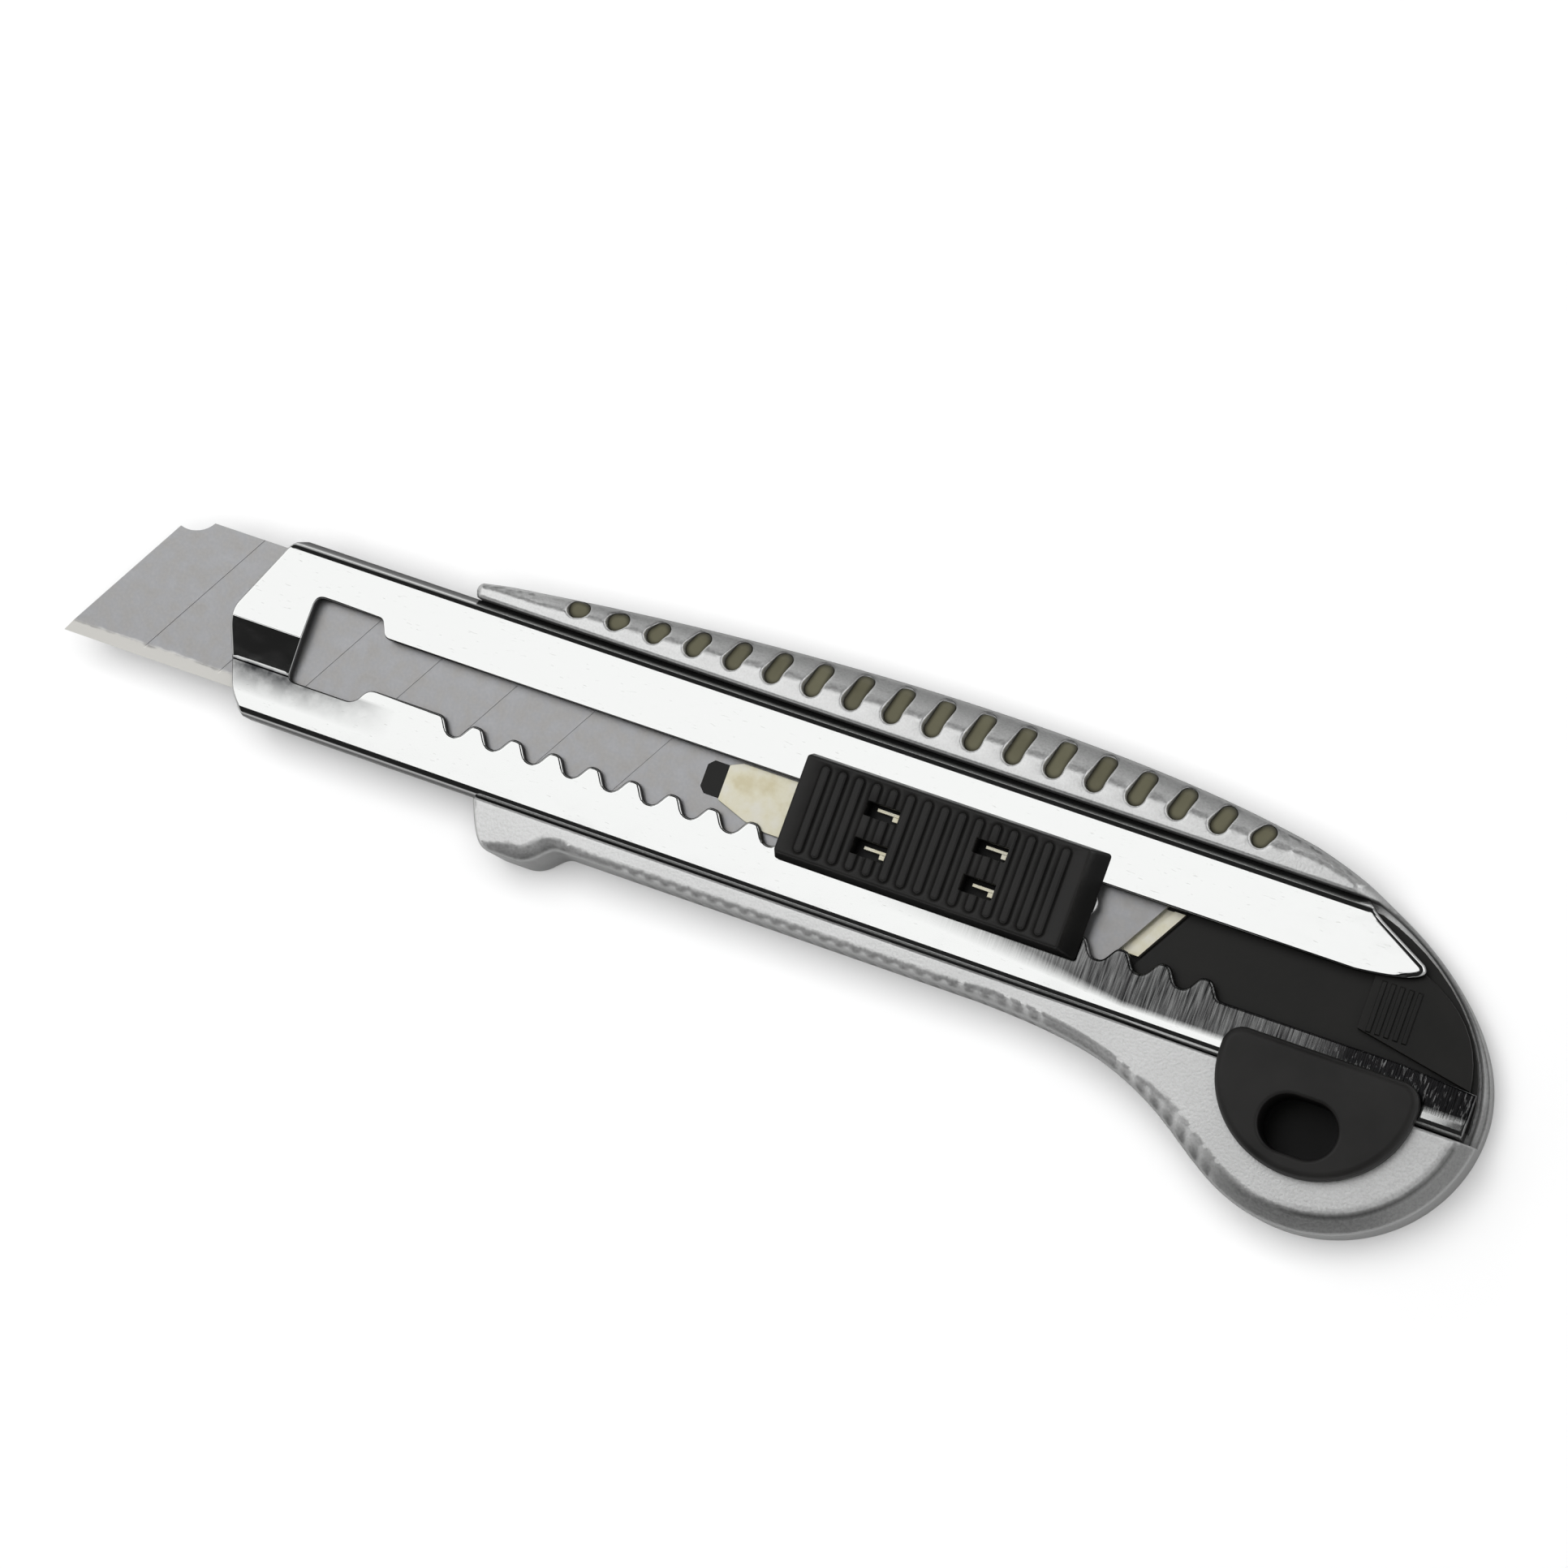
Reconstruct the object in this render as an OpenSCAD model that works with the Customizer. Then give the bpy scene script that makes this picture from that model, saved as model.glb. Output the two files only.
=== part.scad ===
// Auto-loading 18 mm snap-off knife: cast handle, steel channel, sprung lock, slide-out magazine.
// Drawn with x from the blade's point towards the rear, y up from the cutting edge to the
// dimpled back of the handle, and z up from the flat resting face; placed() then centres it.

/* [Blade] */
// Width of the blade from cutting edge to back
blade_w = 18; // [17.9:0.05:18.05]
// Length of the blade along its cutting edge
blade_l = 100; // [96:1:102]
// Thickness of the blade
blade_t = 0.5; // [0.4:0.05:0.55]
// Distance between two score lines
score_pitch = 10; // [8:1:11]
// Number of score lines
score_count = 7; // [5:1:7]
// Angle of the score lines from the square direction
score_angle = 30; // [28:1:31]
// Width of the ground cutting bevel
bevel_w = 1.5; // [1:0.1:2]

/* [Channel] */
// Thickness of the sheet steel
sheet_t = 0.8; // [0.7:0.05:0.8]
// Height of the channel's outer base above the resting face
channel_z = 4.2; // [4:0.1:4.4]
// Height of the upper rail's outer face
face_z = 9.6; // [9.55:0.05:10]
// Drop from the upper rail to the toothed rail
rail_drop = 0.5; // [0.2:0.1:0.5]
// Distance between two lock notches
tooth_pitch = 5.08; // [5:0.01:5.1]
// Depth of a lock notch
tooth_depth = 1.96; // [1.6:0.02:2.1]
// Number of lock notches
tooth_count = 19; // [18:1:19]

/* [Slider] */
// Length of the knob at its base
knob_l = 37.2; // [36.5:0.1:37.5]
// Width of the knob at its base
knob_w = 12.9; // [12.5:0.1:13.2]
// Height of the knob above the upper rail
knob_h = 3; // [2.6:0.1:3.4]
// Number of thumb ribs
rib_count = 15; // [10:1:15]
// Distance between two thumb ribs
rib_pitch = 2.115; // [2:0.01:2.12]

/* [Handle] */
// Distance between two dimples along the back
dimple_pitch = 5.02; // [4.9:0.02:5.04]
// Number of dimples
dimple_count = 18; // [12:1:18]
// Width of a dimple
dimple_w = 2.3; // [1.8:0.1:2.6]
// Height of the low rim behind the magazine
rim_z = 4.95; // [4.5:0.05:5]
// Height of the dimples' floors
dimple_z = 7; // [6.5:0.1:7.5]
// Thickness of the soft inlays in the dimples
inlay_t = 1.3; // [0.4:0.1:1.4]
// Height of the end plug above the handle's face
plug_h = 2.5; // [2:0.1:3]

/* [Hidden] */
$fn = 48;
far = 300;
slope = tan(score_angle);

// Heights of the layers inside the channel
floor_z = channel_z + sheet_t;
tray_z = floor_z + 0.05;
tray_floor_t = 0.5;
spare_lower_z = 6.05;
spare_upper_z = 6.6;
work_z = 7.2;
carrier_z = work_z + 0.55;
carrier_t = 0.5;
lower_face_z = face_z - rail_drop;
spring_z = carrier_z + carrier_t + 0.1;
knob_z = face_z + 0.05;

// Extremes of the whole knife, which place its origin
rear_x = 180;
back_y = 26.5;
palm_y = -18.6;

// Channel across its width
channel_y0 = -2.8;
channel_y1 = 19.5;
slot_y = 11.35;
tooth_top_y = 5.05;
tooth_mid_y = tooth_top_y - tooth_depth / 2;
first_notch_x = 51.4;
slot_x0 = 39.7;
nose_x = 35;
nose_slope_y = 3.4;
bevel_tilt = 28;
top_bend_r = 1.6;
last_notch_x = first_notch_x + (tooth_count - 1) * tooth_pitch;

// Slider along its length
knob_x0 = 93.3;
knob_x1 = knob_x0 + knob_l;
knob_yc = 8.35;
tab_x = [103.3, 116.7];
tab_l = 2.9;
tab_t = 0.35;
tab_y = [6.1, 10.7];
lock_notch = 12;
pawl_x = first_notch_x + lock_notch * tooth_pitch;
peg = [129.3, 8.7];

// End plug and its fixing
plug_c = [161.2, -1.8];
plug_rx = 11.6;
plug_ry = 11.2;
plug_top_y = 1.2;
plug_corner_r = 2.4;
recess_c = [160.9, -7.5];
plug_z1 = face_z + plug_h;
boss_z = 3.05;
recess_z = 5;
screw_r = 1.5;
rivet_x = [72, 132];
rivet_y = 8.35;
rivet_r = 1.5;
rivet_head_r = 2.6;
fit = 0.02;

// Points of a cubic curve from a to d, without d itself
function curve(a, b, c, d, n) = [for (i = [0 : n - 1])
    let (t = i / n, s = 1 - t) s * s * s * a + 3 * s * s * t * b + 3 * s * t * t * c + t * t * t * d];

// Outline of the handle, from the tip of the upper arm along the back, palm and hook
handle_top = concat(
    [[48.2, 19.6], [48.0, 20.5], [48.6, 21.1]],
    curve([51.5, 22], [68, 24.4], [90, 26.5], [112, back_y], 14),
    curve([112, back_y], [126, 26.5], [140, 25.8], [152, 23.3], 10),
    curve([152, 23.3], [168.5, 19], [rear_x, 9.5], [rear_x, -1], 16));
handle_palm = concat(
    curve([rear_x, -1], [rear_x, -10.5], [172, palm_y], [162, palm_y], 14),
    curve([162, palm_y], [153.5, palm_y], [149.5, -13.5], [143.4, -10.3], 8),
    curve([143.4, -10.3], [137, -7], [131, -5.9], [120, -5.9], 8));
handle_hook = concat(
    [[120, -5.6]],
    curve([68.6, -5.7], [66.6, -5.7], [66.4, -8.4], [63.4, -8.4], 8),
    curve([60.6, -8.4], [58.9, -8.4], [58, -6.6], [56.4, -2.9], 8),
    [[56.4, -2.9]]);
handle_outline = concat(handle_top, handle_palm, handle_hook);

// Edge of the trough that the channel lies in, at the rear
trough_end_x = 178.7;
trough_rear = curve([160.5, 19.6], [168.6, 16.8], [trough_end_x, 9.4], [trough_end_x, -1], 14);

// Outline of the magazine tray's rear end, just inside the trough
tray_end_x = 178.4;
tray_rear = curve([161.5, 18.4], [169.2, 16], [tray_end_x, 9.4], [tray_end_x, -1], 12);

// Outline of the thumb pad's rear end, inside the tray's
pad_rear = curve([177.2, 2.6], [176.6, 8], [173.5, 12], [166, 14.3], 10);

module placed() {
    translate([-rear_x / 2, -(back_y + palm_y) / 2, 0]) children();
}

// A plate of the plan below it, from height z0 to z1
module layer(z0, z1) {
    translate([0, 0, z0]) linear_extrude(z1 - z0) children();
}

// A section drawn in (y, z), swept along x
module along_x(x0, x1) {
    translate([x0, 0, 0]) rotate([90, 0, 90]) linear_extrude(x1 - x0) children();
}

// A side view drawn in (x, z), swept along y
module along_y(y0, y1) {
    translate([0, y1, 0]) rotate([90, 0, 0]) linear_extrude(y1 - y0) children();
}

module pill(a, b, r) {
    d = b - a;
    for (p = [a, b]) translate(p) circle(r);
    translate(a) rotate(atan2(d[1], d[0])) translate([0, -r]) square([norm(d), 2 * r]);
}

module body_casting() {
    shoulder = 1.2;
    placed() color("silver") difference() {
        union() {
            layer(0, face_z - shoulder) polygon(handle_outline);
            layer(face_z - shoulder, face_z) handle_inset();
        }
        layer(channel_z, far) trough();
        layer(rim_z, far) low_rim();
        dimples();
        grip_scallops();
        layer(boss_z - 0.03, far) pill(recess_c - [2, 0], recess_c + [2, 0], 4.05);
        translate([recess_c[0], recess_c[1], -1]) cylinder(h = 6, r = screw_r + 0.1);
        translate([recess_c[0], recess_c[1], -1]) cylinder(h = 2.2, r = 2.9);
        for (x = rivet_x) translate([x, rivet_y, -1]) cylinder(h = 6, r = rivet_r + fit);
    }
}

// The handle's face, set in from the outline where the shoulders fall away
module handle_inset() {
    intersection() {
        polygon(handle_outline);
        translate([-0.4, -0.9]) polygon(handle_outline);
        translate([-0.8, 0.5]) polygon(handle_outline);
    }
}

module trough() {
    polygon(concat([[30, channel_y0 - 0.1], [30, channel_y1 + 0.1]], trough_rear,
        [[trough_end_x, -1], [trough_end_x, channel_y0 - 0.1]]));
}

// Room for the magazine to slide out over the rear of the handle
module low_rim() {
    translate([160, channel_y0 - 0.1]) square([30, channel_y1 - channel_y0 + 0.2]);
}

module dimples() {
    layer(dimple_z, far) dimple_plan(dimple_w / 2);
}

// Plan of the dimples, each reaching a little further as the handle deepens
module dimple_plan(r) {
    for (i = [0 : dimple_count - 1])
        translate([60.4 + i * dimple_pitch, 0]) pill([0, 22], [0.5, min(30, 22.6 + i)], r);
}

// Soft inlays on the floors of the dimples
module grip_inlays() {
    placed() color([0.36, 0.35, 0.28]) layer(dimple_z + 0.01, dimple_z + inlay_t) intersection() {
        dimple_plan(dimple_w / 2 - 0.02);
        translate([0, -0.3]) polygon(handle_outline);
    }
}

module grip_scallops() {
    for (i = [0 : 25]) translate([76 + i * 2, -6.35, -1]) cylinder(h = far, r = 0.6);
}

module blade_channel() {
    placed() color("gainsboro") difference() {
        intersection() {
            channel_length(0);
            layer(0, far) channel_plan();
        }
        channel_length(sheet_t);
        layer(floor_z + 1, far) channel_slot();
        for (x = rivet_x) translate([x, rivet_y, 0]) {
            cylinder(h = 6, r = rivet_r + fit);
            translate([0, 0, channel_z + 0.3]) cylinder(h = 2, r = rivet_head_r + fit);
        }
    }
}

// The channel's full length, thinner by t all round; the step down to the toothed rail is a
// wide slope at the nose, and lies within the slot behind it
module channel_length(t) {
    along_x(0, nose_x) channel_section(t, nose_slope_y);
    along_x(nose_x, rear_x + 10) channel_section(t, tooth_top_y + 0.1);
}

// The closed section of the channel, thinner by t all round, with its step ending at slope_y
module channel_section(t, slope_y) {
    low_r = 1 - t;
    top_c = [channel_y1 - 1.9, face_z - top_bend_r];
    top_r = top_bend_r - t;
    bend = top_c + top_r * [cos(bevel_tilt), sin(bevel_tilt)];
    wall_y = channel_y1 - t;
    polygon(concat(
        [for (a = [180 : 15 : 270]) [channel_y0 + 1, channel_z + 1] + low_r * [cos(a), sin(a)]],
        [for (a = [270 : 15 : 360]) [channel_y1 - 1, channel_z + 1] + low_r * [cos(a), sin(a)]],
        [[wall_y, bend[1] - (wall_y - bend[0]) / tan(bevel_tilt)]],
        [for (i = [0 : 8]) let (a = bevel_tilt + i * (90 - bevel_tilt) / 8) top_c + top_r * [cos(a), sin(a)]],
        [[8.1, face_z - t], [slope_y, lower_face_z - t]],
        [for (a = [90 : 15 : 180]) [channel_y0 + 1, lower_face_z - 1] + low_r * [cos(a), sin(a)]]));
}

module channel_plan() {
    polygon(concat(
        [[25.6, channel_y0], [23.5, -0.4], [22.1, 3.3], [20.4, 7.4], [20.2, 9.2], [23.9, 17.5],
            [24.4, 18.8], [25.6, channel_y1]],
        [[159.6, channel_y1], [161.4, 17.9], [167.9, 14.5]],
        curve([170.5, 12.2], [175, 8.5], [177, 4], [178.1, 1.8], 8),
        [[178.1, channel_y0]]));
}

// The window at the nose, the toothed slot and its open rear end
module channel_slot() {
    difference() {
        union() {
            window_r = 1.2;
            pill([30.7 + window_r - 1, 13.45 - window_r], [30.7 + window_r - 1, 2.9 + window_r], window_r);
            polygon([[30.9, 13.45], [38.2, 13.45], [slot_x0, slot_y], [slot_x0, tooth_top_y],
                [38.4, 2.9], [30.9, 2.9]]);
            polygon(concat([[slot_x0 - 1, slot_y], [slot_x0 - 1, tooth_top_y]], notch_wave(),
                [[169.2, 3.1], [200, 1.2], [200, 14.4], [167.9, 14.4]],
                curve([167.9, 14.4], [168.8, 13.4], [167.8, 12.1], [160.7, slot_y], 8)));
        }
        translate([40, -far]) square([far, far + 1.2]);
    }
}

// Height of the notched edge at x: a cosine wave with fuller crests and notches
function notch_y(x) =
    let (c = cos((x - first_notch_x) * 360 / tooth_pitch))
    tooth_mid_y - tooth_depth / 2 * (1.4 * c - 0.4 * c * c * c);

// The notched edge, ending on the flat level of a notch's bottom
function notch_wave() =
    let (step = tooth_pitch / 16, x0 = first_notch_x - tooth_pitch / 2)
    [for (i = [0 : (tooth_count + 0.5) * 16]) [x0 + i * step, notch_y(x0 + i * step)]];

module channel_rivets() {
    placed() color("darkgray") for (x = rivet_x) translate([x, rivet_y, 0]) {
        translate([0, 0, 0.2]) cylinder(h = channel_z + 0.4, r = rivet_r);
        translate([0, 0, channel_z + 0.3]) cylinder(h = sheet_t - 0.35, r = rivet_head_r);
    }
}

// The D-shaped outline of the plug, set in by d
module plug_outline(d) {
    n = 24;
    r = plug_corner_r - d;
    corner = plug_rx - plug_corner_r;
    polygon(concat(
        [for (i = [0 : n])
            plug_c + [(plug_rx - d) * cos(180 + 180 * i / n), (plug_ry - d) * sin(180 + 180 * i / n)]],
        [for (a = [0 : 15 : 90]) [plug_c[0] + corner, plug_top_y - plug_corner_r] + r * [cos(a), sin(a)]],
        [for (a = [90 : 15 : 180]) [plug_c[0] - corner, plug_top_y - plug_corner_r] + r * [cos(a), sin(a)]]));
}

module end_plug() {
    edge = 0.7;
    placed() color([0.13, 0.13, 0.13]) difference() {
        union() {
            layer(face_z + 0.02, plug_z1 - edge) plug_outline(0);
            layer(plug_z1 - edge, plug_z1) plug_outline(edge);
            layer(boss_z, face_z + 1) pill(recess_c - [2, 0], recess_c + [2, 0], 4);
            layer(lower_face_z + 0.02, face_z + 1) translate([151.5, channel_y0 + 1.2]) square([19.5, 2.3]);
        }
        layer(recess_z, far) pill(recess_c - [1.25, 0], recess_c + [1.25, 0], 3.35);
        translate([recess_c[0], recess_c[1], 0]) cylinder(h = 4.7, r = screw_r + fit);
    }
}

module plug_screw() {
    placed() color("gray") translate([recess_c[0], recess_c[1], 0]) difference() {
        union() {
            translate([0, 0, 0.2]) cylinder(h = 0.95, r = 2.7);
            translate([0, 0, 0.2]) cylinder(h = 4.3, r = screw_r);
        }
        translate([0, 0, -0.8]) cylinder(h = 1.6, r = 0.9, $fn = 6);
    }
}

module slider_knob() {
    draft = 0.45;
    y0 = knob_yc - knob_w / 2;
    y1 = knob_yc + knob_w / 2;
    top = face_z + knob_h;
    placed() color([0.15, 0.15, 0.15]) difference() {
        union() {
            intersection() {
                along_y(y0, y1) polygon([[knob_x0, knob_z], [knob_x0 + 0.4, top],
                    [knob_x1 - 1.8, top], [knob_x1, knob_z]]);
                along_x(knob_x0, knob_x1) polygon([[y0, knob_z], [y0 + draft, top],
                    [y1 - draft, top], [y1, knob_z]]);
            }
            for (i = [0 : rib_count - 1])
                layer(top - 1, top + 0.35)
                    pill([96.4 + i * rib_pitch, 3.6], [96.4 + i * rib_pitch, 13.05], 0.46);
            layer(carrier_z + carrier_t + 0.05, knob_z + 1)
                translate([96.5, 5.4]) square([5.5, 5.6]);
            translate([peg[0], peg[1], spring_z]) cylinder(h = 2, r = 0.8);
        }
        for (x = tab_x) for (w = [[5.1, 1.9], [9.7, 1.7]])
            layer(top - 2.05, far) translate([x - 1, w[0]]) square([tab_l + 1.1, w[1]]);
        for (x = tab_x) for (y = tab_y)
            layer(0, far) translate([x - 0.1, y - 0.05]) square([tab_l + 0.2, tab_t + 0.1]);
    }
}

module blade_carrier() {
    z = carrier_z;
    placed() color([0.83, 0.81, 0.69]) {
        layer(z, z + carrier_t) polygon([[84.3, 6.2], [88.2, 4.8], [91, 4.3], [96, 4.3],
            [97, 2.6], [127, 2.6], [127, 14], [97, 14], [96, 11.2], [85.8, 11.2], [84.3, 10.5]]);
        for (x = tab_x) for (y = tab_y) {
            layer(z, face_z + 1.4) translate([x, y]) square([tab_l, tab_t]);
            layer(face_z + 1, face_z + 1.3) translate([x + tab_l - 0.9, y - 0.6]) square([0.9, 0.7]);
        }
    }
}

// The plastic pad under the carrier's front end that fills the working blade's hole
module blade_catch() {
    placed() color([0.1, 0.1, 0.1]) {
        layer(work_z + 0.03, carrier_z - 0.02) blade_hole(0.06);
        layer(carrier_z - 0.1, carrier_z) translate([84.6, 7]) square([1.2, 3]);
    }
}

// Unit vector square to the path pts at point i
function side(pts, i) =
    let (a = pts[max(i - 1, 0)], b = pts[min(i + 1, len(pts) - 1)], d = (b - a) / norm(b - a))
    [-d[1], d[0]];

// A leaf of half thickness h along the path pts, seen on edge
module leaf(pts, h) {
    polygon(concat(
        [for (i = [0 : len(pts) - 1]) pts[i] + h * side(pts, i)],
        [for (i = [len(pts) - 1 : -1 : 0]) pts[i] - h * side(pts, i)]));
}

// An eye round the knob's peg, a leaf, and a nose that rests in one notch
module lock_spring() {
    nose = [pawl_x, tooth_top_y - tooth_depth + 1];
    placed() color("lightgray") layer(spring_z, spring_z + 0.95) difference() {
        union() {
            translate(peg) circle(1.5);
            leaf(concat(
                [peg - [0.1, 1.2], [pawl_x + 2.6, 7.45], [pawl_x + 1.9, 7.3], [pawl_x + 1.5, 6.9]],
                [for (a = [10 : -20 : -190]) nose + 0.6 * [cos(a), sin(a)]],
                [[pawl_x - 1.1, 5.6], [pawl_x - 1.5, 6.6]]), 0.22);
        }
        translate(peg) circle(0.85);
    }
}

// The hole in a blade's tail, smaller by d all round
module blade_hole(d) {
    polygon([[81.6 + d, 7.1], [82.3 + d, 6.4 + d], [86 - d, 6.4 + d], [86 - d, 10.5 - d],
        [82.3 + d, 10.5 - d], [81.6 + d, 9.8]]);
}

// One blade: ground on both faces, scored, with a snapped front end and a hole at its tail
module blade(x, z, points) {
    mid = blade_t / 2;
    score_top = blade_w + 1;
    translate([x, 0, z]) difference() {
        intersection() {
            linear_extrude(blade_t) difference() {
                polygon([[0, 0], [blade_w * slope, blade_w], [blade_l + blade_w * slope, blade_w],
                    [blade_l, 0]]);
                translate([10.5, 19.9]) circle(3.6);
                blade_hole(0);
            }
            along_x(-1, far) polygon([[0, mid], [bevel_w, 0], [blade_w, 0], [blade_w, blade_t],
                [bevel_w, blade_t]]);
        }
        for (i = [1 : points])
            translate([i * score_pitch, 0, blade_t - 0.08]) linear_extrude(1)
                polygon([[-0.12 - slope, -1], [0.12 - slope, -1],
                    [0.12 + score_top * slope, score_top], [-0.12 + score_top * slope, score_top]]);
    }
}

module working_blade() {
    placed() color([0.6, 0.6, 0.61]) blade(0, work_z, score_count);
}

module spare_blade_upper() {
    placed() color([0.62, 0.62, 0.63]) blade(31.45, spare_upper_z, score_count);
}

module spare_blade_lower() {
    placed() color([0.58, 0.58, 0.6]) blade(31.45, spare_lower_z, score_count);
}

module magazine_tray() {
    deck_z = work_z - 0.1;
    stop_x = 134.4;
    y0 = -1.75;
    y1 = 18.45;
    placed() color([0.1, 0.1, 0.1]) difference() {
        layer(tray_z, deck_z) polygon(concat([[29, y0], [29, y1], [161, y1]], tray_rear,
            [[tray_end_x, -1], [tray_end_x, y0]]));
        layer(tray_z + tray_floor_t, far) polygon([[20, -0.25], [stop_x - 0.25 * slope, -0.25],
            [stop_x + 18.2 * slope, 18.2], [20, 18.2]]);
        layer(deck_z - 0.5, far) translate([170, 0]) circle(1.05);
    }
}

// The ribbed thumb pad that pulls the magazine out
module magazine_pad() {
    z = work_z - 0.08;
    top = lower_face_z - sheet_t - 0.1;
    placed() color([0.12, 0.12, 0.12]) {
        layer(z, top) polygon(concat([[163, 5.3]], pad_rear, [[166, 14.3], [163, 14.3]]));
        for (i = [0 : 4]) layer(top - 0.1, top + 0.25) translate([164 + i * 1.06, 5.3]) square([0.55, 6]);
    }
}

// A leaf bowed up under the spare blades, its tail turned up behind theirs
module magazine_spring() {
    t = 0.25;
    z = tray_z + tray_floor_t + 0.02;
    up = spare_lower_z - 0.03;
    y0 = 5;
    y1 = 11.2;
    tail_x = 132.55;
    tail_l = 1.3;
    tail_z = 6.9;
    placed() color([0.83, 0.81, 0.69]) {
        intersection() {
            along_y(y0, y1) polygon(concat(
                [[45, z]], curve([45, z + t], [70, z + t], [70, up], [86, up], 8),
                curve([86, up], [102, up], [102, z + t], [128, z + t], 8),
                [[141, z + t], [141, z]]));
            layer(0, far) polygon([[40, y0], [tail_x + 0.1 + y0 * slope, y0],
                [tail_x + 0.1 + y1 * slope, y1], [40, y1]]);
        }
        layer(z, tail_z) polygon([[tail_x + y0 * slope, y0], [tail_x + tail_l + y0 * slope, y0],
            [tail_x + tail_l + y1 * slope, y1], [tail_x + y1 * slope, y1]]);
    }
}

body_casting();
grip_inlays();
blade_channel();
channel_rivets();
end_plug();
plug_screw();
slider_knob();
blade_carrier();
blade_catch();
lock_spring();
working_blade();
spare_blade_upper();
spare_blade_lower();
magazine_tray();
magazine_pad();
magazine_spring();
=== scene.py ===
"""Looks of the auto-loading snap-off knife, built round its CAD frame.

The casting, its inlays, the channel, the end plug and the knob are remade as finer shells; the
other CAD parts keep their shape, and most get softened edges. Plans are drawn in millimetres as
(along, across), with along measured from the blade's point and across from its cutting edge.
Heights are in millimetres from the floor.
"""

import math

import bpy
import numpy as np
from mathutils import Matrix, Vector
from mathutils.geometry import delaunay_2d_cdt


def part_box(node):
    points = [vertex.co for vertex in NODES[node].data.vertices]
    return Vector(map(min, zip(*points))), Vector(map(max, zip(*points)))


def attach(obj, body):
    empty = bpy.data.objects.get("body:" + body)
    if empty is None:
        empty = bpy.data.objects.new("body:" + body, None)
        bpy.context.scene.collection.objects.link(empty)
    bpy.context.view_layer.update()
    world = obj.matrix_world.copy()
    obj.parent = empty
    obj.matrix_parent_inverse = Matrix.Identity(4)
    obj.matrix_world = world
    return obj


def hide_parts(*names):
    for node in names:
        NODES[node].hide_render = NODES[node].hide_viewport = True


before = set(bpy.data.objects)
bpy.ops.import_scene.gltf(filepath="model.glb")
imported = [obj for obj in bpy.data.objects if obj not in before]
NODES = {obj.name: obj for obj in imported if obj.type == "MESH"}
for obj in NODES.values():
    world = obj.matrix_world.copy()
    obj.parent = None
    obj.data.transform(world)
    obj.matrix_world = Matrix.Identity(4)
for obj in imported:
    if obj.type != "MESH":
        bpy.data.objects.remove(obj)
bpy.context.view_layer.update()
MM = 0.001
BLADE_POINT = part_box("working_blade")[0]

# Heights, in mm
FACE = 9.6
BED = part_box("blade_channel")[0][2] / MM
RIM = 4.95
DIMPLE_FLOOR = 7.0
INLAY_TOP = 8.3
PLUG_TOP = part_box("end_plug")[1][2] / MM
PLUG_SEAT = FACE + 0.02
EDGE = 0.35

# Plan positions shared by several pieces, in mm
RECESS = np.array((160.9, -7.5))
RIVETS = ((72, 8.35), (132, 8.35))
TROUGH_LOW, TROUGH_HIGH = -2.9, 19.6
DIMPLES = 18
DIMPLE_PITCH = 5.02
DIMPLE_RADIUS = 1.15
DIMPLE_TIP = 1.05
DIMPLE_MARGIN = 0.45
SHEET = 0.8


# ---------------------------------------------------------------- plan geometry

def curve(a, b, c, d, count):
    """Points of a cubic curve from a to d, without d itself."""
    t = np.linspace(0, 1, count, endpoint=False)[:, None]
    s = 1 - t
    a, b, c, d = (np.array(p, float) for p in (a, b, c, d))
    return s ** 3 * a + 3 * s * s * t * b + 3 * s * t * t * c + t ** 3 * d


def arc(centre, radius, start, stop, count):
    """Points of an arc, angles in degrees, end point included."""
    angle = np.radians(np.linspace(start, stop, count))
    return np.array(centre) + radius * np.column_stack((np.cos(angle), np.sin(angle)))


def straight(a, b, count):
    """Points of a line from a to b, without b itself."""
    t = np.linspace(0, 1, count, endpoint=False)[:, None]
    return np.array(a, float) * (1 - t) + np.array(b, float) * t


def pill(a, b, radius, count=14):
    """Closed outline of a slot with round ends at a and b."""
    a, b = np.array(a, float), np.array(b, float)
    turn = math.degrees(math.atan2(*(b - a)[::-1]))
    return np.vstack((arc(b, radius, turn - 90, turn + 90, count),
                      arc(a, radius, turn + 90, turn + 270, count)))


def tapered(a, radius_a, b, radius_b, count=14):
    """Closed outline round two circles and the straight flanks between them."""
    a, b = np.array(a, float), np.array(b, float)
    d = b - a
    turn = math.degrees(math.atan2(d[1], d[0]))
    lean = math.degrees(math.asin(min((radius_a - radius_b) / max(math.hypot(*d), 0.4), 0.9)))
    return np.vstack((arc(b, radius_b, turn - 90 + lean, turn + 90 - lean, count),
                      arc(a, radius_a, turn + 90 - lean, turn + 270 + lean, count)))


def box_loop(x0, y0, x1, y1, radius):
    """Closed outline of a rectangle with rounded corners."""
    corners = ((x1, y0, 270), (x1, y1, 0), (x0, y1, 90), (x0, y0, 180))
    return np.vstack([arc((x - math.copysign(radius, x - (x0 + x1) / 2),
                           y - math.copysign(radius, y - (y0 + y1) / 2)), radius, a, a + 90, 7)
                      for x, y, a in corners])


def filleted(corners, radius, count=6):
    """An open path through the corners, each inner corner rounded off."""
    corners = [np.array(c, float) for c in corners]
    path = [corners[0]]
    for before, corner, after in zip(corners, corners[1:], corners[2:]):
        reach = min(radius, math.hypot(*(before - corner)) / 2.1, math.hypot(*(after - corner)) / 2.1)
        a = corner + (before - corner) * reach / math.hypot(*(before - corner))
        b = corner + (after - corner) * reach / math.hypot(*(after - corner))
        t = np.linspace(0, 1, count)[:, None]
        path.extend((1 - t) ** 2 * a + 2 * t * (1 - t) * corner + t * t * b)
    return np.vstack(path + [corners[-1]])


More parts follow.
